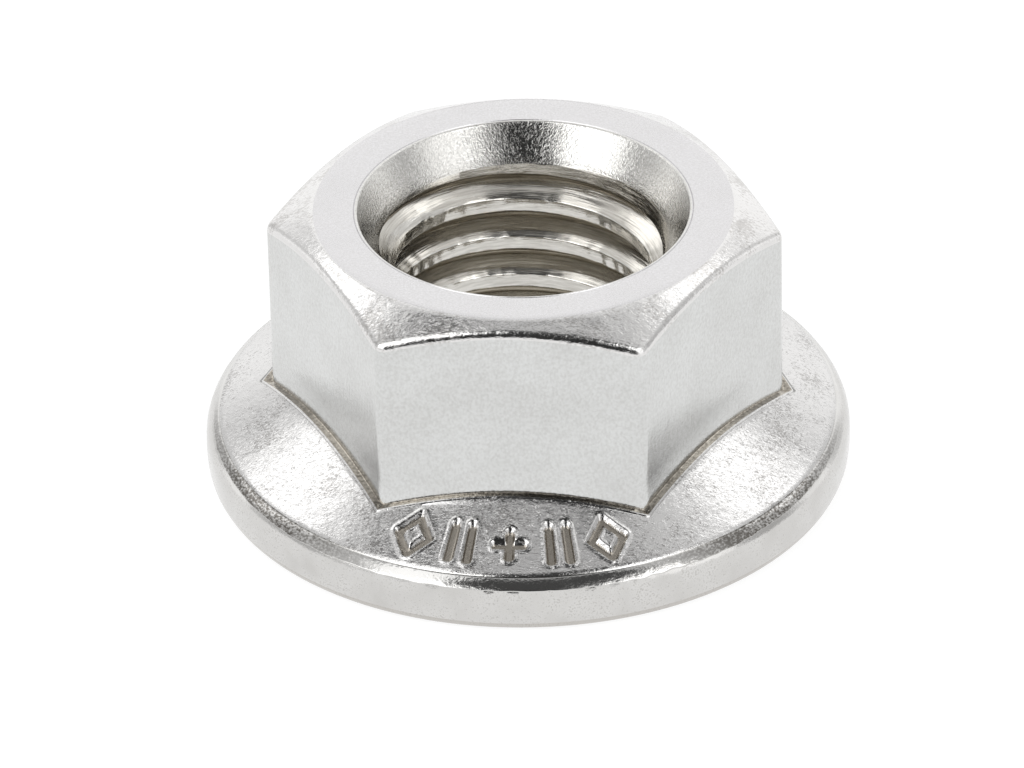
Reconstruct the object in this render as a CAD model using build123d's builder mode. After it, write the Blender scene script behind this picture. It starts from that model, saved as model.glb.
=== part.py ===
from build123d import *
import os
from math import pi, radians, sqrt, tan

# M10 hexagon flange nut with a serrated bearing face, cold-formed in one piece from
# stainless steel. All sizes are in millimetres and angles in degrees.
#
# Frame: the origin lies on the thread axis in the bearing plane, which the serration tips
# touch. +Z runs along the thread axis to the top face, and two corners of the hexagon lie
# over the X axis.

# Hexagon
height = 9.7  # from the bearing plane to the top face
across_flats = 15.0
corner_rounding = 0.5  # of the vertical edges
chamfer_width = 0.5  # of the top chamfer at the middle of a flat
chamfer_angle = 28.0  # fall of the top chamfer, from level
lip_rounding = 0.2  # where the chamfer rolls over into the flats

# Flange
flange_diameter = 21.7  # at the widest line of its rim
shoulder_height = 1.72  # where the flange cone meets the rim
rim_crown = 0.15  # bulge of the rim between its two ends
shoulder_rounding = 0.35
foot_bevel = 0.12
flange_angle = 28.0  # fall of the flange cone, from level
root_fillet = 0.55  # between the hexagon and the flange cone

# Bore at the thread's minor diameter, with a countersink at each end
bore_diameter = 8.6
mouth_width = 1.25  # of a countersink, from the bore to its rim
upper_mouth_angle = 60.0  # included angle of the upper countersink
lower_mouth_angle = 120.0  # and of the one in the bearing face
mouth_rounding = 0.15  # of the upper countersink's rim

# Bearing face and its ratchet serrations
bearing_margin = 0.85  # from the rim's foot in to the flat bearing face
bearing_relief = 0.1  # rise of the underside over that margin
serration_count = 30
serration_depth = 0.38  # of a groove at the edge of the flat bearing face
inner_land = 0.6  # plain ring between the countersink and the grooves
outer_land = 0.25  # least plain ring between the grooves and the rim's foot
tip_share = 0.2  # flat tip of a tooth, as a share of the tooth spacing
grip_share = 0.16  # steep flank of a tooth, as a share of the tooth spacing
cutter_overlap = 0.05  # of a groove's cutter, past the bearing plane

flat_radius = across_flats / 2
corner_radius = across_flats / sqrt(3)
ring_radius = flat_radius - chamfer_width
chamfer_drop = (corner_radius - ring_radius) * tan(radians(chamfer_angle))
bore_radius = bore_diameter / 2
mouth_radius = bore_radius + mouth_width
upper_mouth_depth = mouth_width / tan(radians(upper_mouth_angle / 2))
lower_mouth_depth = mouth_width / tan(radians(lower_mouth_angle / 2))
flange_radius = flange_diameter / 2
rim_end_radius = flange_radius - rim_crown
rim_middle = (bearing_relief + shoulder_height) / 2
bearing_radius = rim_end_radius - bearing_margin
cone_height = shoulder_height + (rim_end_radius - bore_radius) * tan(radians(flange_angle))

# Cutter for one groove between two teeth. Its root runs along a radius, deepest at the edge
# of the bearing face, and it fades out towards both ends, so its flanks are flat. The nut
# loosens anticlockwise seen from above. Each tooth's steep flank faces that way and its
# shallow one the other, so the teeth slide as the nut is tightened and bite when it turns back.
tooth_spacing = 2 * pi * bearing_radius / serration_count
cutter_reach = 1 + cutter_overlap / serration_depth
grip_width = tooth_spacing * grip_share * cutter_reach
slide_width = tooth_spacing * (1 - tip_share - grip_share) * cutter_reach
inward_run = Vector(mouth_radius + inner_land - bearing_radius, 0, -serration_depth)
outward_run = Vector(bearing_margin - outer_land, 0, -serration_depth)
with BuildPart() as groove:
    with BuildSketch(Plane(origin=(bearing_radius, 0, 0), x_dir=(0, 1, 0), z_dir=(1, 0, 0))) as section:
        with BuildLine():
            Polyline(
                (-grip_width, -cutter_overlap),
                (0, serration_depth),
                (slide_width, -cutter_overlap),
                close=True,
            )
        make_face()
    extrude(section.sketch, amount=inward_run.length, dir=inward_run)
    extrude(section.sketch, amount=outward_run.length, dir=outward_run)
    split(bisect_by=Plane.XY.offset(-cutter_overlap))

with BuildPart() as flange_nut:
    # Hexagon, trimmed by the top chamfer, which rolls over into the flats
    with BuildSketch() as hexagon:
        RegularPolygon(flat_radius, 6, major_radius=False)
        fillet(hexagon.vertices(), corner_rounding)
    extrude(amount=height)
    with BuildSketch(Plane.XZ):
        with BuildLine():
            Polyline(
                (0, 0),
                (corner_radius, 0),
                (corner_radius, height - chamfer_drop),
                (ring_radius, height),
                (0, height),
                close=True,
            )
        make_face()
    revolve(axis=Axis.Z, mode=Mode.INTERSECT)
    chamfer_face = flange_nut.faces().filter_by(GeomType.CONE)[0]
    curved_edges = chamfer_face.edges().filter_by(GeomType.LINE, reverse=True)
    lip = curved_edges.filter_by(GeomType.CIRCLE, reverse=True)
    fillet(lip, lip_rounding)

    # Flange, with a slightly crowned rim
    with BuildSketch(Plane.XZ) as flange:
        with BuildLine():
            Polyline((0, cone_height), (0, 0), (bearing_radius, 0), (rim_end_radius, bearing_relief))
            ThreePointArc(
                (rim_end_radius, bearing_relief),
                (flange_radius, rim_middle),
                (rim_end_radius, shoulder_height),
            )
            Polyline((rim_end_radius, shoulder_height), (bore_radius, cone_height), (0, cone_height))
        make_face()
        rim_ends = flange.vertices().filter_by_position(Axis.X, rim_end_radius, rim_end_radius)
        foot, shoulder = rim_ends.sort_by(Axis.Y)
        chamfer(foot, foot_bevel)
        fillet(shoulder, shoulder_rounding)
    revolve(axis=Axis.Z)
    fillet(flange_nut.edges(Select.NEW), root_fillet)

    # Bore and its countersinks
    with BuildSketch(Plane.XZ):
        with BuildLine():
            Polyline(
                (0, 0),
                (mouth_radius, 0),
                (bore_radius, lower_mouth_depth),
                (bore_radius, height - upper_mouth_depth),
                (mouth_radius, height),
                (0, height),
                close=True,
            )
        make_face()
    revolve(axis=Axis.Z, mode=Mode.SUBTRACT)
    top_face = flange_nut.faces().sort_by(Axis.Z)[-1]
    fillet(top_face.inner_wires()[0].edges(), mouth_rounding)

    # Serrations
    with PolarLocations(0, serration_count):
        add(groove.part, mode=Mode.SUBTRACT)

flange_nut.part.label = "flange_nut"
os.makedirs("parts", exist_ok=True)
export_step(flange_nut.part, "parts/flange_nut.step")
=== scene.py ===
"""Dresses a serrated M10 flange nut of cold-formed stainless steel.

The nut is one closed skin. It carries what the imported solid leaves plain: the cut thread, the
broken edges, the stamped marks and the finish of every surface. Sizes are in millimetres and
angles in degrees unless it says otherwise, and the skin is turned to metres when its mesh is made.
"""

import logging
import math
from dataclasses import dataclass, field
from enum import Enum
from functools import cached_property

import bpy
import numpy as np
from mathutils import Matrix, Vector


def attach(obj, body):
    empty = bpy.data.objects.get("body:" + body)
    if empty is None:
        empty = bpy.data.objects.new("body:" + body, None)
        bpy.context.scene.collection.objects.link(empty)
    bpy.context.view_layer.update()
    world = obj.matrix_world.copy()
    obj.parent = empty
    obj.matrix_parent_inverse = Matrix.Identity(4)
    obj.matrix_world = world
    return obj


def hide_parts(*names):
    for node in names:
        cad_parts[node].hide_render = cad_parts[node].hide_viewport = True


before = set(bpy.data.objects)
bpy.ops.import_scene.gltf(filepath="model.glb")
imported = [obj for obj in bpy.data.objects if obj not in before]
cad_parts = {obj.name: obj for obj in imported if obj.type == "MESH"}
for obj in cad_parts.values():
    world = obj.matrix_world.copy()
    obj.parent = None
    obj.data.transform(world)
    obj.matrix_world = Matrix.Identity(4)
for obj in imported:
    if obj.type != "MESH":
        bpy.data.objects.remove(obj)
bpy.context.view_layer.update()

Array = np.ndarray
Node, Socket, Tree = bpy.types.Node, bpy.types.NodeSocket, bpy.types.NodeTree

NODE = "flange_nut"
BODY = "root"
SLOT = "stainless_steel"
METRES_PER_MM = 0.001
FULL_TURN = 2 * math.pi
SAME = 1e-6

log = logging.getLogger("flange_nut")


class Finish(Enum):
    """The nut's finishes, in the order of its material slots."""

    RIM = 0
    FLANGE = 1
    FLAT = 2
    CHAMFER = 3
    END_FACE = 4
    COUNTERSINK = 5
    THREAD = 6
    BEARING = 7
    RECESS = 8
    CREST = 9
    BURR = 10
    ROOT = 11
    GULLET = 12


def tangent(angle: float) -> float:
    """Tangent of an angle in degrees."""
    return math.tan(math.radians(angle))


def arc(start: float, end: float, steps: int) -> Array:
    """Angles in radians from start to end in degrees, in so many steps, both ends included."""
    return np.radians(np.linspace(start, end, steps + 1))


def polar(radius: Array | float, angle: Array, height: Array | float) -> Array:
    """Places on a ring about the thread axis.

    Args:
        radius: Distance from the axis, for all or for each place.
        angle: Angle of each place, in radians.
        height: Height of all or of each place.

    Returns:
        One row of x, y and z for each angle.
    """
    return np.stack([radius * np.cos(angle), radius * np.sin(angle), height * np.ones_like(angle)], axis=-1)


def radius_and_angle(places: Array) -> tuple[Array, Array]:
    """Distance of each place from the thread axis, and its angle in radians."""
    return np.linalg.norm(places[:, :2], axis=1), np.arctan2(places[:, 1], places[:, 0])


def rounded_line(corners: list[tuple[float, float, float]], steps: int) -> Array:
    """A line through corners, each one rounded by a short curve.

    Args:
        corners: Two coordinates of each corner and how far from it its rounding starts.
        steps: Bands across each rounding.

    Returns:
        One row of the two coordinates for each point.
    """
    line = [np.array(corners[0][:2])]
    for before, here, after in zip(corners, corners[1:], corners[2:]):
        corner = np.array(here[:2])
        back, ahead = np.array(before[:2]) - corner, np.array(after[:2]) - corner
        if here[2] == 0:
            line.append(corner)
            continue
        start = corner + back / np.linalg.norm(back) * here[2]
        end = corner + ahead / np.linalg.norm(ahead) * here[2]
        for share in np.linspace(0, 1, steps + 1):
            line.append((1 - share) ** 2 * start + 2 * share * (1 - share) * corner + share**2 * end)
    line.append(np.array(corners[-1][:2]))
    return np.array(line)


@dataclass(frozen=True)
class Unevenness:
    """A rough line round the axis that closes on itself.

    Attributes:
        size: Its size, which it seldom goes beyond.
        waves: Number of waves that it is made of, the finest going round as often again.
        seed: Seed of their sizes and places.
        spread: How many times wider than the finest the widest may be.
        climb: How many radians a wave drifts round in a millimetre of height.
    """

    size: float
    waves: int
    seed: int
    spread: int = 8
    climb: float = 4.0

    def at(self, angle: Array, level: Array) -> Array:
        """Offset at each angle, in radians, and each height, about as often above zero as below."""
        draw = np.random.default_rng(self.seed)
        total = 0 * (angle + level)
        for count in draw.integers(self.waves // self.spread, self.waves, self.waves):
            size, start, climb = draw.normal(), draw.uniform(0, FULL_TURN), draw.normal(0, self.climb)
            total = total + size * np.sin(count * angle + climb * level + start)
        return self.size * (total / math.sqrt(self.waves))


@dataclass
class Skin:
    """A closed skin, grown from rings of points about the thread axis."""

    places: list[Array] = field(default_factory=list)
    faces: list[tuple[int, ...]] = field(default_factory=list)
    finishes: list[int] = field(default_factory=list)
    size: int = 0

    def ring(self, places: Array) -> Array:
        """Adds points, anticlockwise seen from above, and gives their numbers."""
        numbers = np.arange(self.size, self.size + len(places))
        self.places.append(places)
        self.size += len(places)
        return numbers

    def face(self, corners: tuple[int, ...], finish: Finish) -> None:
        """Adds one face, without the corners that fall together, if three are left."""
        kept = [corner for n, corner in enumerate(corners) if corner != corners[n - 1]]
        if len(kept) > 2:
            self.faces.append(tuple(kept))
            self.finishes.append(finish.value)

    def band(self, low: Array, low_next: Array, high: Array, high_next: Array, finish: Finish) -> None:
        """Joins two rows of points, low coming first on the way round the section.

        Args:
            low: Numbers of one row's points.
            low_next: Number of the point that follows each.
            high: Numbers of the other row's points.
            high_next: Number of the point that follows each.
            finish: Finish of the band.
        """
        for corners in zip(low.tolist(), low_next.tolist(), high_next.tolist(), high.tolist()):
            self.face(corners, finish)

    def grow(self, start: Array | None, *runs: tuple[Finish, list[Array]]) -> Array:
        """Adds rings and joins each to the one before.

        Args:
            start: Numbers of a ring to join the first one to, if there is one.
            runs: Finish of some bands and the places of their rings, run after run.

        Returns:
            The last ring's numbers.
        """
        last = start
        for finish, rings in runs:
            for places in rings:
                numbers = self.ring(places)
                if last is not None:
                    self.band(last, np.roll(last, -1), numbers, np.roll(numbers, -1), finish)
                last = numbers
        return last

    def lace(self, low: Array, high: Array, finish: Finish) -> None:
        """Joins two rings that may differ in their number of points, by triangles.

        Args:
            low: Numbers of the ring that comes first on the way round the section.
            high: Numbers of the other ring.
            finish: Finish of the triangles.
        """
        places = np.concatenate(self.places)
        low_turns, high_turns = (np.unwrap(radius_and_angle(places[ring])[1]) for ring in (low, high))
        high_turns += FULL_TURN * round((low_turns[0] - high_turns[0]) / FULL_TURN)
        first = int(np.searchsorted(high_turns, low_turns[0]))
        high_turns = np.roll(high_turns, -first)
        high_turns[len(high) - first :] += FULL_TURN
        low_turns = [*low_turns, low_turns[0] + FULL_TURN, math.inf]
        high_turns = [*high_turns, high_turns[0] + FULL_TURN, math.inf]
        low = [*low.tolist(), int(low[0])]
        high = np.roll(high, -first).tolist()
        high.append(high[0])
        i = j = 0
        while i + j < len(low) + len(high) - 2:
            if low_turns[i + 1] <= high_turns[j + 1]:
                self.face((low[i], low[i + 1], high[j]), finish)
                i += 1
            else:
                self.face((low[i], high[j + 1], high[j]), finish)
                j += 1

    def refinish(self, chosen: Array, finish: Finish) -> None:
        """Gives another finish to the faces that have all their corners among some points.

        Args:
            chosen: For each point so far, whether it is one of them.
            finish: The new finish.
        """
        for number, corners in enumerate(self.faces):
            if all(chosen[corner] for corner in corners):
                self.finishes[number] = finish.value

    def build(self, name: str) -> bpy.types.Object:
        """Makes the object, in metres, with each face's material index set to its finish."""
        mesh = bpy.data.meshes.new(name)
        mesh.from_pydata(np.concatenate(self.places) * METRES_PER_MM, [], self.faces)
        mesh.polygons.foreach_set("material_index", self.finishes)
        mesh.update()
        return put_in_scene(name, mesh)


def put_in_scene(name: str, data: bpy.types.Mesh | bpy.types.Camera) -> bpy.types.Object:
    """Makes an object from a mesh or a camera and links it to the scene."""
    made = bpy.data.objects.new(name, data)
    bpy.context.scene.collection.objects.link(made)
    return made


@dataclass
class Hexagon:
    """The hexagon, its rolled lip, its top chamfer and the end face."""

    height: float = 9.7
    across_flats: float = 15.0
    sides: int = 6
    corner_rounding: float = 0.5
    ring_radius: float = 7.0
    chamfer_angle: float = 28.0
    lip_rounding: float = 0.33
    foot_offset: float = 0.27
    end_face_radii: tuple[float, ...] = (6.7, 6.4, 6.1)
    corner_steps: int = 10
    flat_steps: int = 32
    marked_side: int = 4
    marked_flat_steps: int = 216
    wall_steps: int = 6
    lip_steps: int = 7
    chamfer_steps: int = 5

    def outline(self) -> tuple[Array, Array, Array]:
        """The rounded hexagon seen from above, anticlockwise from the corner over +X.

        Returns:
            Places on it, the outward directions there and the places at its foot, whose
            corners are sharp, one row of x and y for each.
        """
        half_turn = 180 / self.sides
        apothem = self.across_flats / 2
        to_corner = 1 / math.cos(math.radians(half_turn))
        centre = (apothem - self.corner_rounding) * to_corner
        half_flat = (apothem - self.corner_rounding) * tangent(half_turn)
        places, outward, foot = [], [], []
        for side in range(self.sides):
            middle = 2 * half_turn * side
            corner = math.radians(middle)
            ahead = np.array([math.cos(corner), math.sin(corner)])
            turn = arc(middle - half_turn, middle + half_turn, self.corner_steps)
            away = np.stack([np.cos(turn), np.sin(turn)], axis=-1)
            places.append(centre * ahead + self.corner_rounding * away)
            outward.append(away)
            tip = (apothem + self.foot_offset) * to_corner * ahead
            share = np.abs(np.linspace(-1, 1, self.corner_steps + 1))[:, None]
            early = np.arange(self.corner_steps + 1)[:, None] * 2 < self.corner_steps
            ends = np.where(early, away[0], away[-1])
            ends = centre * ahead + (self.corner_rounding + self.foot_offset) * ends
            foot.append(tip + (ends - tip) * share)
            steps = self.marked_flat_steps if side == self.marked_side else self.flat_steps
            along = np.linspace(-half_flat, half_flat, steps + 1)[1:-1, None]
            facing = corner + math.radians(half_turn)
            normal = np.array([math.cos(facing), math.sin(facing)])
            places.append(apothem * normal + along * np.array([-normal[1], normal[0]]))
            outward.append(np.repeat(normal[None], steps - 1, axis=0))
            foot.append(places[-1] + self.foot_offset * normal)
        return np.concatenate(places), np.concatenate(outward), np.concatenate(foot)

    def lip(self, places: Array, outward: Array) -> list[Array]:
        """Rings of the rounding between the sides and the chamfer.

        Args:
            places: Outline of the sides, one row of x and y for each place.
            outward: Outward direction of the sides at each place.

        Returns:
            The rings, from the sides to the chamfer.
        """
        tilt = math.radians(self.chamfer_angle)
        middle = places - self.lip_rounding * outward
        reach = radius_and_angle(middle)[0]
        cone = self.height - (reach - self.ring_radius) * math.tan(tilt)
        centre = np.column_stack([middle, cone - self.lip_rounding / math.cos(tilt)])
        to_side = np.column_stack([outward, np.zeros(len(outward))])
        level = np.full(len(reach), math.cos(tilt))
        to_cone = np.column_stack([middle / reach[:, None] * math.sin(tilt), level])
        between = np.arccos(np.clip((to_side * to_cone).sum(axis=1), -1, 1))[:, None]
        rings = []
        for share in np.linspace(0, 1, self.lip_steps + 1):
            turned = np.sin((1 - share) * between) * to_side + np.sin(share * between) * to_cone
            rings.append(centre + self.lip_rounding * (turned / np.sin(between)))
        return rings

    def wall(self, low: Array, high: Array) -> list[Array]:
        """Rings of the sides above one ring, up to and with another."""
        shares = np.linspace(0, 1, self.wall_steps + 1)[1:-1]
        return [*(low + (high - low) * share for share in shares), high]

    def chamfer(self, edge: Array) -> list[Array]:
        """Rings of the chamfer, from its edge at the lip to the end face."""
        outer, angle = radius_and_angle(edge)
        rings = []
        for share in np.linspace(0, 1, self.chamfer_steps + 1)[1:]:
            radius = outer + (self.ring_radius - outer) * share
            rings.append(polar(radius, angle, edge[:, 2] + (self.height - edge[:, 2]) * share))
        return rings

    def end_face(self, edge: Array) -> list[Array]:
        """Rings of the end face, each with as many points as the chamfer's edge."""
        return [polar(radius, radius_and_angle(edge)[1], self.height) for radius in self.end_face_radii]


@dataclass
class Marks:
    """Plain marks stamped into the flange: bars, a cross and lozenges."""

    middle_radius: float = 9.34
    middle_angle: float = 270.0
    stroke: float = 0.34
    depth: float = 0.13
    wall: float = 0.07
    lip_height: float = 0.03
    lip_width: float = 0.1
    recess_share: float = 0.3
    mark_height: float = 1.4
    spacing: float = 1.62
    lozenge_reach: float = 0.54
    bar_share: float = 0.9
    bar_offset: float = 0.3
    cross_reach: float = 0.45
    inner_radius: float = 8.45
    outer_radius: float = 10.2

    def strokes(self) -> list[tuple[tuple[float, float], tuple[float, float]]]:
        """Ends of each stroke, along the arc and up the slope from the middle of the marks."""
        half, wide, reach = self.mark_height / 2, self.lozenge_reach, self.cross_reach
        bar = half * self.bar_share
        lozenge = [(0, half), (wide, 0), (0, -half), (-wide, 0), (0, half)]
        shapes = [
            [((-reach, 0), (reach, 0)), ((0, -reach), (0, reach))],
            [((x, -bar), (x, bar)) for x in (-self.bar_offset, self.bar_offset)],
            list(zip(lozenge, lozenge[1:])),
        ]
        return [
            ((at * self.spacing + x0, y0), (at * self.spacing + x1, y1))
            for at in range(-2, 3)
            for (x0, y0), (x1, y1) in shapes[abs(at)]
        ]

    def drop(self, radius: Array, angle: Array, slope: float) -> Array:
        """How far the stamped flange lies under the plain one, less where a lip stands up.

        Args:
            radius: Distance of each place from the axis.
            angle: Angle of each place, in radians.
            slope: Fall of the flange, from level.

        Returns:
            The drop of each place.
        """
        turned = (angle - math.radians(self.middle_angle) + math.pi) % FULL_TURN - math.pi
        across = turned * self.middle_radius
        up = (self.middle_radius - radius) / math.cos(math.radians(slope))
        nearest = np.full(radius.shape, np.inf)
        for (x0, y0), (x1, y1) in self.strokes():
            run = np.array([x1 - x0, y1 - y0])
            share = ((across - x0) * run[0] + (up - y0) * run[1]) / (run @ run)
            share = np.clip(share, 0, 1)
            nearest = np.minimum(nearest, np.hypot(across - x0 - share * run[0], up - y0 - share * run[1]))
        edge = nearest - self.stroke / 2
        sunk = self.depth * np.clip(-edge / self.wall, 0, 1)
        raised = self.lip_height * np.exp(-((edge - self.lip_width / 2) / (self.lip_width / 2)) ** 2)
        return sunk - raised


@dataclass
class Flange:
    """The conical flange, its bead and rim, and the strip at the hexagon's root."""

    radius: float = 10.85
    widest_height: float = 0.93
    bow: float = 0.1
    rim_end_radius: float = 10.7
    shoulder_height: float = 1.72
    slope: float = 28.0
    under_radius: float = 10.5
    under_height: float = 0.0765
    foot_height: float = 0.3
    foot_rounding: float = 0.1
    bevel: float = 0.1
    bevel_rounding: float = 0.05
    bead_radius: float = 10.43
    bead_slope: float = 35.4
    bead_widths: tuple[float, float] = (0.13, 0.37)
    least_bead: float = 0.04
    bead_edge: Unevenness = Unevenness(0.015, 100, 7)
    slump_height: float = 1.2
    edge_line: float = 0.02
    cone_lead: float = 0.2
    rim_rows: int = 10
    rim_steps: int = 3
    bead_rings: int = 10
    mark_rows: int = 36
    plain_rows: int = 5
    strip_rise: float = 0.04
    # Each line of the strip, from the cone up: its distance from the hexagon as a share of the
    # foot's, and its height above the plain strip. The first few are still the flange's.
    strip_lines: tuple[tuple[float, float], ...] = (
        (1.2, 0.0), (1.08, -0.03), (0.98, 0.01), (0.85, 0.02),
        (0.5, 0.0), (0.15, -0.015), (0.04, 0.0), (0.0, 0.03),
    )
    flange_lines: int = 4

    def cone(self, radius: Array | float) -> Array | float:
        """Height of the flange's cone at each radius."""
        return self.shoulder_height + (self.rim_end_radius - radius) * tangent(self.slope)

    def rim_radius(self, level: float) -> float:
        """Radius of the rim's crown at a height."""
        return self.radius - self.bow * (level - self.widest_height) ** 2

    def rim_section(self, width: float) -> Array:
        """The rim's section from the underside to the cone.

        Args:
            width: How far the bead reaches out from its inner edge.

        Returns:
            One row of radius and height for each point.
        """
        line = self.edge_line
        inner = self.cone(self.bead_radius)
        top = inner - width * tangent(self.bead_slope)
        slump = (self.rim_radius(top) - self.bead_radius - width) / (top - self.slump_height) ** 2
        crown = []
        for level in np.linspace(self.foot_height, top, self.rim_rows):
            radius = self.rim_radius(level) - slump * max(level - self.slump_height, 0) ** 2
            crown.append((radius, level, 0.0))
        crown[0] = (*crown[0][:2], self.foot_rounding)
        end_radius, end_level, _ = crown.pop()
        groove = self.bead_radius - 2 * line
        last = self.bead_radius - self.cone_lead
        corners = [
            (self.under_radius, self.under_height, 0.0),
            (self.rim_radius(self.foot_height) - self.bevel, self.bevel, self.bevel_rounding),
            *crown,
            (end_radius - line / 2, end_level - 2 * line, 0.0),
            (end_radius, end_level, line),
            (self.bead_radius, inner, line),
            (groove, self.cone(groove) - line, 0.0),
            (groove - line, self.cone(groove - line), 0.0),
            (last, self.cone(last), 0.0),
        ]
        return rounded_line(corners, self.rim_steps)

    def rim_rings(self, angle: Array) -> list[Array]:
        """Rings of the rim and its bead, which is widest at the front and nearly ends at the back.

        Args:
            angle: Angle of each column, in radians.

        Returns:
            The rings, from the underside to the cone.
        """
        narrow, wide = (self.rim_section(width) for width in self.bead_widths)
        least, most = self.bead_widths
        width = least - (most - least) * np.sin(angle) + self.bead_edge.at(angle, 0 * angle)
        share = (np.clip(width, self.least_bead, most) - least) / (most - least)
        between = [start + (end - start) * share for start, end in zip(narrow.ravel(), wide.ravel())]
        return [polar(radius, angle, level) for radius, level in zip(between[::2], between[1::2])]

    def cone_radii(self, marks: Marks) -> list[float]:
        """Radii of the cone's rings between the bead and the root, close together at the marks."""
        outer = np.linspace(self.bead_radius - self.cone_lead, marks.outer_radius, 3)[1:-1]
        return [*outer, *np.linspace(marks.outer_radius, marks.inner_radius, self.mark_rows)]

    def plain_cone(self, root: Array, marked: Array) -> list[Array]:
        """Rings of the cone between the marks' last ring and the root's first."""
        inner, angle = radius_and_angle(root)
        outer = radius_and_angle(marked)[0]
        rings = []
        for share in np.linspace(0, 1, self.plain_rows + 1)[1:-1]:
            radius = outer + (inner - outer) * share
            rings.append(polar(radius, angle, self.cone(radius)))
        return rings

    def root(self, places: Array, foot: Array) -> list[Array]:
        """Rings of the strip between the flange and the hexagon, with a fine line at its foot.

        Args:
            places: Outline of the hexagon's sides.
            foot: Outline of the strip's foot.

        Returns:
            The rings, from the flange to the sides.
        """
        base = self.cone(radius_and_angle(foot)[0])
        rings = []
        for share, above in self.strip_lines:
            level = base + (1 - share) * self.strip_rise + above
            rings.append(np.column_stack([places + (foot - places) * share, level]))
        return rings


@dataclass
class ThreadedHole:
    """The M10 x 1.5 right-hand thread and the countersink at each end of it."""

    height: float = 9.7
    pitch: float = 1.5
    minor_radius: float = 4.3
    root_radius: float = 5.02
    crest: float = 0.5
    crest_start: float = 0.4883
    crest_lean: float = 0.06
    flank_angle: float = 30.0
    edge_rounding: float = 0.05
    raggedness: Unevenness = Unevenness(0.01, 60, 5)
    ragged_at_crest: float = 1.6
    ragged_fall: float = 4.0
    mouth_radius: float = 5.55
    mouth_slope: float = 60.0
    mouth_rounding: float = 0.1
    mouth_foot: float = 8.46
    torn_slope: float = 75.0
    torn_foot: float = 7.88
    foot_slope: float = 30.0
    foot_rounding: float = 0.15
    clearance: float = 0.03
    edge_line: float = 0.02
    seam_radius: float = 5.9
    columns: int = 340
    profile_steps: int = 2
    mouth_steps: int = 6
    cone_steps: int = 4
    foot_steps: int = 4
    spare_turns: int = 2
    same_level: float = 1e-4

    @cached_property
    def angle(self) -> Array:
        """Angle of each column, in radians."""
        return FULL_TURN * np.arange(self.columns) / self.columns

    @cached_property
    def mouth_edge(self) -> float:
        """Radius at which the end face starts to round over into the mouth."""
        return self.mouth_radius + self.mouth_rounding * tangent(self.mouth_slope / 2)

    def profile(self) -> Array:
        """One pitch of the thread, from the lower edge of a crest to that of the next.

        Returns:
            One row of height over the crest's lower edge and radius for each point.
        """
        minor, root, rounding = self.minor_radius, self.root_radius, self.edge_rounding
        rise = (root - minor) * tangent(self.flank_angle)
        middle = (minor + root) / 2
        corners = [
            (-rise / 2, middle, 0.0),
            (0.0, minor + self.crest_lean, rounding),
            (self.crest / 2, minor + self.crest_lean / 2, 0.0),
            (self.crest, minor, rounding),
            (self.crest + rise / 2, middle, 0.0),
            (self.crest + rise, root, rounding),
            (self.pitch - rise, root, rounding),
            (self.pitch - rise / 2, middle, 0.0),
        ]
        return rounded_line(corners, self.profile_steps)[:-1]

    def upper_countersink(self, level: Array | float) -> Array | float:
        """Radius of the upper countersink at each height, steeper where the tap has torn it."""
        knee = self.mouth_radius - (self.height - self.mouth_foot) / tangent(self.mouth_slope)
        torn = knee - (self.mouth_foot - self.torn_foot) / tangent(self.torn_slope)
        heights = [self.torn_foot - torn + self.minor_radius, self.torn_foot, self.mouth_foot, self.height]
        return np.interp(level, heights, [self.minor_radius, torn, knee, self.mouth_radius])

    def lower_countersink(self, level: Array | float) -> Array | float:
        """Radius of the lower countersink's cone at each height."""
        return self.mouth_radius - level / tangent(self.foot_slope)

    def countersinks(self, level: Array) -> Array:
        """Radius of the wider countersink at each height."""
        return np.maximum(self.upper_countersink(level), self.lower_countersink(level))

    def thread_grid(self, bottom: float, top: float) -> tuple[Array, Array]:
        """Rows that follow the helix, some of them beyond the ends.

        Args:
            bottom: Height of the grid's lower end.
            top: Height of its upper end.

        Returns:
            Heights and radii, one row per helix line and one column per angle.
        """
        profile = self.profile()
        turns = math.ceil((top - bottom) / self.pitch) + self.spare_turns + 1
        first = math.floor((bottom - self.crest_start) / self.pitch) - self.spare_turns
        starts = self.crest_start + self.pitch * (first + np.arange(turns))
        offsets = (starts[:, None] + profile[None, :, 0]).ravel()
        radii = np.tile(profile[:, 1], turns)[:, None]
        level = offsets[:, None] + self.pitch * self.angle[None] / FULL_TURN
        share = np.clip(self.ragged_at_crest - (radii - self.minor_radius) * self.ragged_fall, 0, 1)
        thread = radii + self.raggedness.at(self.angle[None], level) * share
        return self.snapped(level, thread, self.countersinks(level))

    @staticmethod
    def snapped(level: Array, thread: Array, cone: Array) -> tuple[Array, Array]:
        """Moves the row nearest to each crossing of thread and countersink onto it.

        Args:
            level: Height of each point.
            thread: The thread's radius there.
            cone: The countersinks' radius there.

        Returns:
            New heights, and the hole's radius at each.
        """
        gap = thread - cone
        radius = np.maximum(thread, cone)
        crossing = (gap[:-1] > 0) != (gap[1:] > 0)
        share = np.where(crossing, gap[:-1] / np.where(crossing, gap[:-1] - gap[1:], 1), 0)
        at = level[:-1] + share * (level[1:] - level[:-1])
        there = cone[:-1] + share * (cone[1:] - cone[:-1])
        level = level.copy()
        for rows, near in ((slice(None, -1), share < 0.5), (slice(1, None), share >= 0.5)):
            moved = crossing & near
            level[rows][moved], radius[rows][moved] = at[moved], there[moved]
        return level, radius

    def bend(self, centre: tuple[float, float], rounding: float, turns: Array) -> list[Array]:
        """Rings of a rounding about a middle's radius and height, one for each turn in radians."""
        return [
            polar(centre[0] + rounding * math.cos(turn), self.angle, centre[1] + rounding * math.sin(turn))
            for turn in turns
        ]

    def face_rings(self) -> list[Array]:
        """Rings of the end face, the last three making a fine line round the mouth's edge."""
        rings = [polar(self.seam_radius, self.angle, self.height)]
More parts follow.
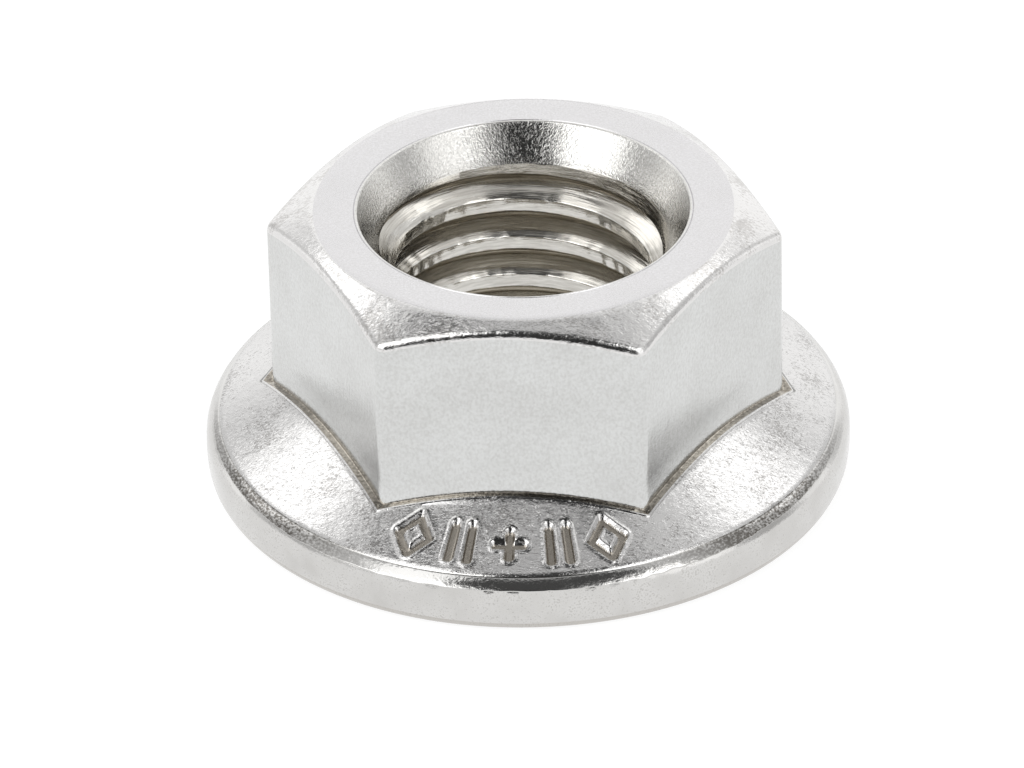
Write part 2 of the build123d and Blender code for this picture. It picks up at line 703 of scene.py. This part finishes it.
        # How many widths of the line each ring lies outside the edge and below the face.
        for out, down in ((3, 0), (2, 1), (1, 0)):
            radius = self.mouth_edge + out * self.edge_line
            rings.append(polar(radius, self.angle, self.height - down * self.edge_line))
        return rings

    def mouth_rings(self, top: float) -> list[Array]:
        """Rings from the mouth's edge down the countersink, to the upper end of the thread."""
        turns = arc(90, 90 + self.mouth_slope, self.mouth_steps)
        rings = self.bend((self.mouth_edge, self.height - self.mouth_rounding), self.mouth_rounding, turns)
        start = self.mouth_edge + self.mouth_rounding * math.cos(math.radians(90 + self.mouth_slope))
        end = float(self.upper_countersink(top))
        for radius in np.linspace(start, end, self.cone_steps + 1)[1:-1]:
            level = self.height - (self.mouth_radius - radius) * tangent(self.mouth_slope)
            rings.append(polar(radius, self.angle, level))
        return [*rings, polar(end, self.angle, top)]

    def foot_rings(self, bottom: float) -> list[Array]:
        """Rings from the lower end of the thread to the bearing face."""
        edge = self.mouth_radius + self.foot_rounding * tangent(self.foot_slope / 2)
        turns = arc(-90 - self.foot_slope, -90, self.foot_steps)
        rings = self.bend((edge, self.foot_rounding), self.foot_rounding, turns)
        start = float(self.lower_countersink(bottom))
        middle = (start + float(np.linalg.norm(rings[0][0, :2]))) / 2
        level = (self.mouth_radius - middle) * tangent(self.foot_slope)
        return [polar(middle, self.angle, level), *rings, polar(self.seam_radius, self.angle, 0.0)]

    def grow(self, skin: Skin) -> tuple[Array, Array]:
        """Adds the hole to the skin.

        Args:
            skin: The skin to add it to.

        Returns:
            Numbers of its ring on the end face and of its ring on the bearing face.
        """
        top = self.mouth_foot
        bottom = (self.mouth_radius - self.root_radius - self.clearance) * tangent(self.foot_slope)
        level, radius = self.thread_grid(bottom, top)
        face, mouth = self.face_rings(), self.mouth_rings(top)
        upper = skin.grow(None, (Finish.END_FACE, face[:1]))
        top_ring = skin.grow(upper, (Finish.END_FACE, [*face[1:], mouth[0]]), (Finish.COUNTERSINK, mouth[1:]))
        bottom_ring = skin.ring(polar(float(self.lower_countersink(bottom)), self.angle, bottom))
        inside = (level > bottom + self.same_level) & (level < top - self.same_level)
        numbers = np.where(level >= top - self.same_level, top_ring, bottom_ring)
        places = np.stack([radius * np.cos(self.angle), radius * np.sin(self.angle), level], axis=-1)
        numbers[inside] = skin.ring(places[inside])
        following = np.roll(numbers, -1, axis=1)
        step = len(self.profile())
        following[:-step, -1] = numbers[step:, 0]
        following[-step:, -1] = top_ring[0]
        for high, high_next, low, low_next in zip(numbers[1:], following[1:], numbers, following):
            skin.band(high, high_next, low, low_next, Finish.THREAD)

        def among(test: Array) -> Array:
            """For each point of the skin, whether it is one of the grid's that pass a test."""
            chosen = np.zeros(skin.size, dtype=bool)
            chosen[numbers[inside]] = test[inside]
            return chosen

        bored = among(radius < self.countersinks(level) + SAME)
        bored[top_ring] = bored[bottom_ring] = True
        # Three times its size takes in nearly all of the raggedness.
        crest = among(radius < self.minor_radius + self.crest_lean + 3 * self.raggedness.size)
        skin.refinish(crest | bored, Finish.CREST)
        # The deepest part of each groove takes a darker brown finish: brown from oil, and painted shade in
        # the groove.
        gullet_oil_and_shade = among(radius > self.root_radius - self.edge_rounding)
        skin.refinish(gullet_oil_and_shade & ~bored, Finish.GULLET)
        return upper, skin.grow(bottom_ring, (Finish.COUNTERSINK, self.foot_rings(bottom)))


@dataclass
class BearingFace:
    """The underside with its ring of ratchet teeth."""

    inner_radius: float = 6.0
    fade_radius: float = 6.15
    flat_radius: float = 9.85
    runout_radius: float = 10.45
    outer_radius: float = 10.5
    relief: float = 0.1
    margin: float = 0.85
    teeth: int = 30
    depth: float = 0.38
    tip_share: float = 0.2
    grip_share: float = 0.16
    least_share: float = 0.08
    flat_rings: int = 10
    runout_rings: int = 5

    def underside(self, radius: float) -> float:
        """Height of the underside between the grooves, at a radius."""
        return max(0.0, radius - self.flat_radius) / self.margin * self.relief

    def groove_share(self, radius: float) -> float:
        """Size of a groove at a radius, as a share of its size at the edge of the flat face."""
        if radius <= self.flat_radius:
            return max(0.0, (radius - self.fade_radius) / (self.flat_radius - self.fade_radius))
        return max(0.0, (self.runout_radius - radius) / (self.runout_radius - self.flat_radius))

    def ring(self, radius: float) -> Array:
        """One ring of the underside, its points on the edges and roots of the grooves."""
        spacing = FULL_TURN * self.flat_radius / self.teeth
        low = self.underside(radius)
        sunk = max(self.depth * self.groove_share(radius) - low, 0.0)
        share = max(sunk / self.depth, self.least_share)
        grip = spacing * self.grip_share * share
        slide = spacing * (1 - self.grip_share - self.tip_share) * share
        across = [-grip, -grip / 2, 0.0, slide / 3, slide * 2 / 3, slide]
        level = [low + sunk * rise for rise in (0.0, 0.5, 1.0, 2 / 3, 1 / 3, 0.0)]
        angles, heights = [], []
        for tooth in range(self.teeth):
            at = FULL_TURN * tooth / self.teeth
            local = [at + y / radius for y in across]
            next_start = at + FULL_TURN / self.teeth - grip / radius
            tips = [local[-1] + (next_start - local[-1]) * k / 3 for k in (1, 2)]
            angles += local + tips
            heights += level + [low, low]
        return polar(radius, np.array(angles), np.array(heights))

    def grow(self, skin: Skin) -> tuple[Array, Array]:
        """Adds the underside to the skin.

        Args:
            skin: The skin to add it to.

        Returns:
            Numbers of its inner and its outer ring.
        """
        radii = [*np.linspace(self.fade_radius, self.flat_radius, self.flat_rings)]
        radii += [*np.linspace(self.flat_radius, self.runout_radius, self.runout_rings + 1)[1:]]
        inner = skin.grow(None, (Finish.BEARING, [self.ring(self.inner_radius)]))
        rings = [self.ring(radius) for radius in (*radii, self.outer_radius)]
        return inner, skin.grow(inner, (Finish.BEARING, rings))


@dataclass
class Nut:
    """The whole nut, as one closed skin."""

    hexagon: Hexagon = field(default_factory=Hexagon)
    flange: Flange = field(default_factory=Flange)
    marks: Marks = field(default_factory=Marks)
    hole: ThreadedHole = field(default_factory=ThreadedHole)
    bearing: BearingFace = field(default_factory=BearingFace)
    root_lead: float = 0.04
    sharp_angle: float = 32.0

    def outside(self, skin: Skin) -> tuple[Array, Array]:
        """Adds the rim, flange, hexagon, chamfer and end face.

        Args:
            skin: The skin to add them to.

        Returns:
            Numbers of the lowest ring, at the foot, and of the innermost one, on the end face.
        """
        places, outward, foot = self.hexagon.outline()
        flange, marks = self.flange, self.marks
        root = flange.root(places, foot)
        inner, angle = radius_and_angle(root[0])
        rim = flange.rim_rings(angle)
        shaded_foot_rows = 1 + sum(ring[0, 2] < flange.foot_height for ring in rim)
        lowest = skin.grow(None, (Finish.BEARING, rim[:1]))
        last = skin.grow(
            lowest,
            # The rim's foot band takes the bearing face's darker grey: painted shade, standing in for the
            # floor's shadow that the foot reflects.
            (Finish.BEARING, rim[1:shaded_foot_rows]),
            (Finish.RIM, rim[shaded_foot_rows : -flange.bead_rings]),
            (Finish.BURR, rim[-flange.bead_rings : -1]),
            (Finish.FLANGE, rim[-1:]),
        )
        before = skin.size
        cone, drops = [], []
        for radius in flange.cone_radii(marks):
            at = np.maximum(radius, inner + self.root_lead * (radius - inner.min()))
            drops.append(marks.drop(at, angle, flange.slope))
            cone.append(polar(at, angle, flange.cone(at) - drops[-1]))
        last = skin.grow(last, (Finish.FLANGE, cone))
        deep = np.zeros(skin.size, dtype=bool)
        deep[before:] = np.concatenate(drops) > marks.depth * marks.recess_share
        skin.refinish(deep, Finish.RECESS)
        lip = self.hexagon.lip(places, outward)
        last = skin.grow(
            last,
            (Finish.FLANGE, flange.plain_cone(root[0], cone[-1]) + root[: flange.flange_lines]),
            (Finish.ROOT, root[flange.flange_lines :]),
            (Finish.FLAT, self.hexagon.wall(root[-1], lip[0])),
            (Finish.CHAMFER, lip[1:] + self.hexagon.chamfer(lip[-1])),
            (Finish.END_FACE, self.hexagon.end_face(lip[-1])),
        )
        return lowest, last

    def build(self) -> bpy.types.Object:
        """Makes the nut's skin."""
        skin = Skin()
        foot, end = self.outside(skin)
        upper, lower = self.hole.grow(skin)
        skin.lace(end, upper, Finish.END_FACE)
        inner, outer = self.bearing.grow(skin)
        skin.lace(lower, inner, Finish.BEARING)
        skin.lace(outer, foot, Finish.BEARING)
        piece = skin.build("dressed_nut")
        piece.data.polygons.foreach_set("use_smooth", [True] * len(piece.data.polygons))
        piece.data.set_sharp_from_angle(angle=math.radians(self.sharp_angle))
        log.info("skin of %d points and %d faces", len(piece.data.vertices), len(piece.data.polygons))
        return piece


def linear(code: str) -> tuple[float, float, float, float]:
    """Turns an sRGB hex value into linear red, green, blue and alpha, by the sRGB standard."""
    parts = [int(code[k : k + 2], 16) / 255 for k in (1, 3, 5)]
    red, green, blue = (c / 12.92 if c <= 0.04045 else ((c + 0.055) / 1.055) ** 2.4 for c in parts)
    return (red, green, blue, 1.0)


def add_node(tree: Tree, kind: str, inputs: dict | tuple = (), **settings) -> Node:
    """Adds a shader node with its settings, values and links.

    Args:
        tree: The node tree.
        kind: Blender's name of the node type, without the "ShaderNode" before it.
        inputs: What goes into each input, by its name or in their order. It is a value, an output
            socket, or a node, which stands for its first output.
        settings: Values of the node's own properties.

    Returns:
        The node.
    """
    node = tree.nodes.new(f"ShaderNode{kind}")
    for name, value in settings.items():
        setattr(node, name, value)
    for name, value in inputs.items() if isinstance(inputs, dict) else enumerate(inputs):
        source = value.outputs[0] if isinstance(value, Node) else value
        if isinstance(source, Socket):
            tree.links.new(source, node.inputs[name])
        else:
            node.inputs[name].default_value = source
    return node


def empty_tree(owner: bpy.types.Material | bpy.types.World) -> Tree:
    """Gives a material or a world an empty node tree."""
    owner.use_nodes = True
    owner.node_tree.nodes.clear()
    return owner.node_tree


@dataclass
class Place:
    """Where each point of the piece is, in millimetres, as nodes of one material.

    Attributes:
        tree: The material's node tree.
        arc_radius: Radius at which lengths round the axis are true, which is the thread's.
    """

    tree: Tree
    arc_radius: float = 5.0

    @cached_property
    def straight(self) -> Node:
        """The place as x, y and z."""
        where = add_node(self.tree, "TexCoord").outputs["Object"]
        return add_node(self.tree, "VectorMath", (where, (1 / METRES_PER_MM,) * 3), operation="MULTIPLY")

    @cached_property
    def parts(self) -> list[Socket]:
        """x, y and z, each as an output of its own."""
        return list(add_node(self.tree, "SeparateXYZ", (self.straight,)).outputs)

    @cached_property
    def spun(self) -> Node:
        """The place as radius, length round the thread axis, and height."""
        x, y, z = self.parts
        flat = add_node(self.tree, "CombineXYZ", (x, y))
        radius = add_node(self.tree, "VectorMath", (flat,), operation="LENGTH").outputs["Value"]
        turn = add_node(self.tree, "Math", (y, x), operation="ARCTAN2")
        length = add_node(self.tree, "Math", (turn, self.arc_radius), operation="MULTIPLY")
        return add_node(self.tree, "CombineXYZ", (radius, length, z))


@dataclass(frozen=True)
class Grain:
    """One layer of fine relief, or a pattern of specks.

    Attributes:
        size: Size of a grain along x, y and z, or along the radius, the arc and the height.
        depth: Height of the relief.
        detail: Octaves of finer relief in it.
        distortion: How far the grains are bent out of shape.
        rarity: From which value of the noise on there is a pit, when it is a layer of pits.
        turned: Whether it runs round the thread axis, as a turned or tapped surface's does.
        pit_edge: Range of the noise across a pit's edge.
    """

    size: tuple[float, float, float]
    depth: float = 0.0
    detail: float = 2.0
    distortion: float = 0.0
    rarity: float = 0.0
    turned: bool = False
    pit_edge: float = 0.05

    def pattern(self, place: Place) -> Node:
        """Adds the nodes of its pattern, from 0 to 1, to the tree that the place is in."""
        source = place.spun if self.turned else place.straight
        scale = tuple(1 / length for length in self.size)
        scaled = add_node(place.tree, "VectorMath", (source, scale), operation="MULTIPLY")
        inputs = {"Vector": scaled, "Scale": 1.0, "Detail": self.detail, "Distortion": self.distortion}
        noise = add_node(place.tree, "TexNoise", inputs)
        if self.rarity == 0:
            return noise
        return add_node(place.tree, "MapRange", (noise, self.rarity, self.rarity + self.pit_edge, 1.0, 0.0))


@dataclass(frozen=True)
class Steel:
    """Bare stainless steel, as one way of working leaves it.

    Attributes:
        worked: How it was worked, which ends the material's name.
        colour: Colour of the clean metal.
        roughness: Least and greatest roughness.
        grains: Its layers of relief.
        flecks: The pattern of its specks.
        flecked: How far the specks go towards the stain's colour.
        fleck_range: Between which values of the pattern a speck fades in.
        fading: Places along y between which its specks fade in and then out again, if they do.
        clustering: How strongly the specks gather in the darker places.
        uneven: Size of its darker places.
        uneven_detail: Octaves of finer noise in them.
        stained: How far its darker places go towards the stain's colour.
        stain_range: Between which values of their noise a darker place fades in.
        stain: Colour of its specks and darker places.
        gloss_range: Between which sums of both patterns the roughness goes from least to greatest.
    """

    worked: str
    colour: str
    roughness: tuple[float, float]
    grains: tuple[Grain, ...]
    flecks: Grain = Grain((0.06, 0.06, 0.06))
    flecked: float = 0.15
    fleck_range: tuple[float, float] = (0.87, 0.55)
    fading: tuple[float, float, float, float] | None = None
    clustering: float = 0.5
    uneven: float = 2.0
    uneven_detail: float = 5.0
    stained: float = 0.1
    stain_range: tuple[float, float] = (0.35, 0.7)
    stain: str = "#8f8a84"
    gloss_range: tuple[float, float] = (0.8, 1.2)

    def make(self) -> bpy.types.Material:
        """Makes the material."""
        material = bpy.data.materials.new(f"{SLOT}_{self.worked}")
        tree = empty_tree(material)
        place = Place(tree)
        cloud = Grain((self.uneven,) * 3, detail=self.uneven_detail).pattern(place)
        fleck = self.flecks.pattern(place)
        clustered = add_node(tree, "Math", (cloud, self.clustering, fleck), operation="MULTIPLY_ADD")
        speck = add_node(tree, "MapRange", (clustered, *self.fleck_range, 0.0, self.flecked))
        if self.fading:
            near, full, least, far = self.fading
            for start, end in ((near, full), (far, least)):
                speck = add_node(tree, "MapRange", (place.parts[1], start, end, 0.0, speck))
        shade = add_node(tree, "MapRange", (cloud, *self.stain_range, 0.0, self.stained))
        mixture = {
            "Factor": add_node(tree, "Math", (speck, shade), operation="ADD"),
            "A": linear(self.colour),
            "B": linear(self.stain),
        }
        tint = add_node(tree, "Mix", mixture, data_type="RGBA").outputs["Result"]
        both = add_node(tree, "Math", (fleck, cloud), operation="ADD")
        gloss = add_node(tree, "MapRange", (both, *self.gloss_range, *self.roughness))
        relief = {"Strength": 1.0}
        for grain in self.grains:
            relief |= {"Height": grain.pattern(place), "Distance": grain.depth * METRES_PER_MM}
            relief["Normal"] = add_node(tree, "Bump", relief)
        # The IOR stays at its default, as a metal's does.
        inputs = {"Base Color": tint, "Metallic": 1.0, "Roughness": gloss, "Normal": relief["Normal"]}
        add_node(tree, "OutputMaterial", (add_node(tree, "BsdfPrincipled", inputs),))
        return material


@dataclass(frozen=True)
class Card:
    """A card or an opening of the light tent, as a patch of the sky.

    Attributes:
        azimuth: Direction of its middle, anticlockwise from +X seen from above.
        elevation: Height of its middle.
        half_width: Half its width in azimuth, to the middle of its soft edge.
        half_height: Half its height in elevation, to the middle of its soft edge.
        softness: Width of its soft edge.
        light: Its brightness, where a white floor's is 1.
    """

    azimuth: float
    elevation: float
    half_width: float
    half_height: float
    softness: float
    light: float

    def cover(self, tree: Tree, turn: Node, height: Node) -> Node:
        """Adds the nodes that make 1 within the card and 0 outside it.

        Args:
            tree: The world's node tree.
            turn: Azimuth of each direction, in radians.
            height: Its elevation, in radians.

        Returns:
            The last of them.
        """
        cover = 1.0
        spans = ((turn, self.azimuth, self.half_width), (height, self.elevation, self.half_height))
        for angle, middle, half in spans:
            off = add_node(tree, "Math", (angle, math.radians(middle)), operation="SUBTRACT")
            # This folds whole turns away and leaves the distance from the card's middle.
            off = add_node(tree, "Math", (off, math.pi), operation="PINGPONG")
            start, end = (math.radians(half + side * self.softness / 2) for side in (-1, 1))
            cover = add_node(tree, "MapRange", (off, start, end, cover, 0.0), interpolation_type="SMOOTHSTEP")
        return cover


@dataclass(frozen=True)
class Studio:
    """A white floor in a light tent that has a dark opening for the camera."""

    floor_size: float = 4000.0
    floor_colour: str = "#808080"
    floor_roughness: float = 0.9
    floor_glow: float = 0.86
    tent: float = 0.8
    # From behind the nut to its front, each card over the ones before it.
    cards: tuple[Card, ...] = (
        Card(90, 22, 34, 34, 14, 1.24),
        Card(40, 47, 11, 11, 8, 1.85),
        Card(146, 43, 13, 12, 8, 1.85),
        Card(0, 14, 13, 22, 12, 0.6),
        Card(28, 8, 10, 9, 8, 1.25),
        Card(-168, 18, 17, 18, 12, 0.62),
        Card(156, 4, 9, 9, 8, 1.3),
        # The zenith, all the way round.
        Card(0, 90, 180, 9, 8, 0.6),
        Card(-138, 38, 21, 28, 8, 2.4),
        Card(168, 73, 18, 10, 8, 0.22),
        Card(-158, 66, 15, 10, 6, 1.55),
        Card(14, 77, 16, 7, 8, 0.45),
        Card(-32, 24, 19, 26, 10, 1.4),
        Card(-31, 54, 18, 8, 6, 2.4),
        Card(-46, 44, 10, 12, 8, 2.6),
        # The opening for the camera, a small card beside it and the dark gap over it.
        Card(-88, 32, 23, 46, 10, 0.04),
        Card(-117, 50, 12, 11, 8, 2.4),
        Card(-75, 72, 60, 9, 8, 0.08),
    )

    def floor(self) -> None:
        """Makes the floor."""
        half = self.floor_size / 2 * METRES_PER_MM
        mesh = bpy.data.meshes.new("floor")
        corners = [(-half, -half, 0), (half, -half, 0), (half, half, 0), (-half, half, 0)]
        mesh.from_pydata(corners, [], [(0, 1, 2, 3)])
        # Cast acrylic, sanded matt: an even white without reflections.
        material = bpy.data.materials.new("white_acrylic_cast")
        tree = empty_tree(material)
        inputs = {
            "Base Color": linear(self.floor_colour),
            "Roughness": self.floor_roughness,
            "Specular IOR Level": 0.0,
            "Emission Color": linear("#ffffff"),
            "Emission Strength": self.floor_glow,
        }
        add_node(tree, "OutputMaterial", (add_node(tree, "BsdfPrincipled", inputs),))
        mesh.materials.append(material)
        plane = put_in_scene("floor", mesh)

    def world(self) -> None:
        """Makes the tent's light, one card over the other."""
        world = bpy.data.worlds.new("light_tent")
        bpy.context.scene.world = world
        tree = empty_tree(world)
        direction = add_node(tree, "TexCoord").outputs["Generated"]
        x, y, z = add_node(tree, "SeparateXYZ", (direction,)).outputs
        turn = add_node(tree, "Math", (y, x), operation="ARCTAN2")
        height = add_node(tree, "Math", (z,), operation="ARCSINE")
        light = self.tent
        for card in self.cards:
            inputs = {"Factor": card.cover(tree, turn, height), "A": light, "B": card.light}
            light = add_node(tree, "Mix", inputs)
        glow = add_node(tree, "Background", {"Color": linear("#ffffff"), "Strength": light})
        add_node(tree, "OutputWorld", (glow,))


@dataclass(frozen=True)
class Viewpoint:
    """The camera: a long lens that looks down on the nut from the front."""

    target_height: float = 4.947
    distance: float = 296.8
    elevation: float = 32.372
    azimuth: float = 4.219
    pan: float = 0.098
    tilt: float = 0.36
    roll: float = 1.232
    lens: float = 311.47
    sensor: float = 36.0

    def make(self) -> None:
        """Makes the scene's camera."""
        data = bpy.data.cameras.new("camera")
        data.lens = self.lens
        data.sensor_width = self.sensor
        camera = put_in_scene("camera", data)
        facing = self.turned(Matrix.Identity(3), Z=self.azimuth, X=90 - self.elevation)
        turned = self.turned(facing, Y=self.pan, X=-self.tilt, Z=-self.roll)
        place = Vector((0, 0, self.target_height)) + self.distance * facing.col[2]
        camera.matrix_world = Matrix.Translation(place * METRES_PER_MM) @ turned.to_4x4()
        bpy.context.scene.camera = camera

    @staticmethod
    def turned(facing: Matrix, **turns: float) -> Matrix:
        """Turns a direction by some angles, in their order, each about the axis that it is named for."""
        for axis, angle in turns.items():
            facing = facing @ Matrix.Rotation(math.radians(angle), 3, axis)
        return facing


# Bare stainless steel throughout. Its own grain is 0.02 to 0.05 mm across and its tools' feed marks
# are as fine, which is too fine to show. So the finest layers are drawn 0.05 to 0.12 mm wide.
FINISHES = {
    # Pressed in the die and tumbled: a satin band, faintly mottled where the tumbling touched it.
    Finish.RIM: Steel(
        "tumbled", "#d2d1cf", (0.1, 0.17),
        (Grain((0.8, 0.8, 0.3), 0.008), Grain((0.1, 0.1, 0.06), 0.005, 4.0)),
        flecked=0.3, fleck_range=(0.66, 0.56), uneven=1.2, stained=0.2,
    ),
    # Struck by the die: nearly a mirror, gently wavy, with scattered dark pits and wrinkles.
    Finish.FLANGE: Steel(
        "struck", "#d5d4d3", (0.05, 0.1),
        (
            Grain((0.7, 0.5, 0.5), 0.014),
            Grain((0.24, 0.12, 0.12), 0.008, 3.0, 1.8),
            Grain((0.17, 0.1, 0.1), 0.012, 2.0, 1.2, 0.62),
        ),
        flecks=Grain((0.16, 0.09, 0.09), distortion=1.5),
        flecked=0.48, fleck_range=(0.82, 0.72), clustering=0.8, uneven=1.6, stained=0.05, stain="#5c5752",
    ),
    # Extruded through the hexagon die: a calm satin with faint upright streaks.
    Finish.FLAT: Steel(
        "extruded", "#d4d5d4", (0.1, 0.15),
        (
            Grain((1.2, 1.2, 2.5), 0.007),
            Grain((0.07, 0.07, 0.7), 0.0032),
            Grain((0.06, 0.06, 0.06), 0.003, 3.0),
        ),
        flecks=Grain((0.09, 0.09, 0.12), detail=3.0),
        flecked=0.2, fleck_range=(0.62, 0.3), clustering=0.0,
    ),
    # Upset in the die: bright and hammered-looking, with greyer patches where it filled last.
    Finish.CHAMFER: Steel(
        "upset", "#dfdedd", (0.06, 0.12),
        (Grain((0.7, 0.7, 0.7), 0.03), Grain((0.2, 0.12, 0.12), 0.01, 4.0, 1.5)),
        flecks=Grain((0.12, 0.09, 0.09), detail=3.0),
        flecked=0.4, fleck_range=(1.08, 0.85), clustering=1.2, uneven=1.4,
    ),
    # Faced on a lathe: matt and pale, with fine rings round the axis.
    Finish.END_FACE: Steel(
        "faced", "#d5d4d5", (0.2, 0.28),
        (Grain((0.05, 3.0, 1.0), 0.004, 3.0, turned=True), Grain((0.06, 0.06, 0.06), 0.003, 3.0)),
        flecked=0.16,
    ),
    # Cut by a countersink: glossy, with a fine chatter that breaks its reflections up.
    Finish.COUNTERSINK: Steel(
        "countersunk", "#dad9d6", (0.08, 0.15),
        (Grain((0.08, 3.0, 0.08), 0.003, 3.0, turned=True), Grain((0.12, 0.12, 0.12), 0.0145, 4.0, 1.5)),
        flecks=Grain((0.08, 0.08, 0.08), detail=3.0),
        flecked=0.25,
    ),
    # Cut by a tap: bright flanks, warm from the cutting oil, with long scratches round the axis.
    Finish.THREAD: Steel(
        "tapped", "#dad7d0", (0.12, 0.2),
        (Grain((0.1, 4.0, 0.12), 0.012, 3.0, turned=True), Grain((0.12, 0.6, 0.12), 0.004, turned=True)),
        flecks=Grain((0.1, 2.5, 0.12), detail=3.0, turned=True),
        flecked=0.3, stain="#7a7266",
    ),
    # Coined with the teeth: an even grey sheen. On the rim's foot band this darker grey is painted shade,
    # standing in for the floor's shadow that the foot reflects.
    Finish.BEARING: Steel(
        "coined_and_foot_shade", "#c2bfbb", (0.12, 0.22),
        (Grain((0.6, 0.6, 0.6), 0.01), Grain((0.14, 0.14, 0.14), 0.008, 3.0)),
        flecked=0.3, fleck_range=(0.7, 0.56),
    ),
    # Stamped: dull brown floors, darker than the flange round them.
    Finish.RECESS: Steel(
        "stamped", "#a29c93", (0.24, 0.34), (Grain((0.08, 0.08, 0.08), 0.006, 3.0),), stain="#6f685f"
    ),
    # Bored and then torn by the tap: bright crests with short dark tears.
    Finish.CREST: Steel(
        "bored", "#dedcd7", (0.1, 0.18),
        (Grain((0.1, 1.2, 0.1), 0.01, 3.0, turned=True), Grain((0.1, 0.1, 0.1), 0.004, 3.0)),
        flecks=Grain((0.1, 1.0, 0.1), detail=3.0, turned=True),
        flecked=0.3, stain="#7a7266",
    ),
    # Squeezed out at the die's edge: polished at the front, dark and ragged to its left and right.
    Finish.BURR: Steel(
        "squeezed", "#d2d1cf", (0.05, 0.13),
        (Grain((0.3, 0.3, 0.3), 0.005), Grain((0.1, 0.1, 0.05), 0.004, 3.0)),
        flecks=Grain((0.1, 0.1, 0.05), detail=3.0),
        flecked=0.85, fleck_range=(0.95, 0.66), fading=(-9.8, -7.8, -4.5, 0.0), stain="#57524c",
    ),
    # Pinched between flange and hexagon: a narrow brownish strip, darker than the flange and the sides,
    # unpolished.
    Finish.ROOT: Steel(
        "pinched", "#bab4aa", (0.12, 0.22),
        (Grain((0.1, 0.1, 0.05), 0.008, 3.0),),
        flecks=Grain((0.12, 0.12, 0.06), detail=3.0),
        flecked=0.6, fleck_range=(0.85, 0.6), stain="#5b544b",
    ),
    # The bottom of the tap's cut: brown from oil and darker still with painted shade in the groove, with long
    # streaks round the axis.
    Finish.GULLET: Steel(
        "tapped_root_oil_and_shade", "#aea799", (0.16, 0.26),
        (Grain((0.1, 5.0, 0.15), 0.008, turned=True),),
        flecks=Grain((0.1, 3.0, 0.13), turned=True),
        flecked=0.6, stain="#5b5245",
    ),
}


def main() -> None:
    """Builds the nut, dresses it and sets the scene."""
    logging.basicConfig(level=logging.INFO, format="%(message)s")
    piece = Nut().build()
    for finish in Finish:
        piece.data.materials.append(FINISHES[finish].make())
    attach(piece, BODY)
    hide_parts(NODE)
    studio = Studio()
    studio.floor()
    studio.world()
    Viewpoint().make()
    bpy.context.scene.view_settings.view_transform = "Standard"


if __name__ == "__main__":
    main()
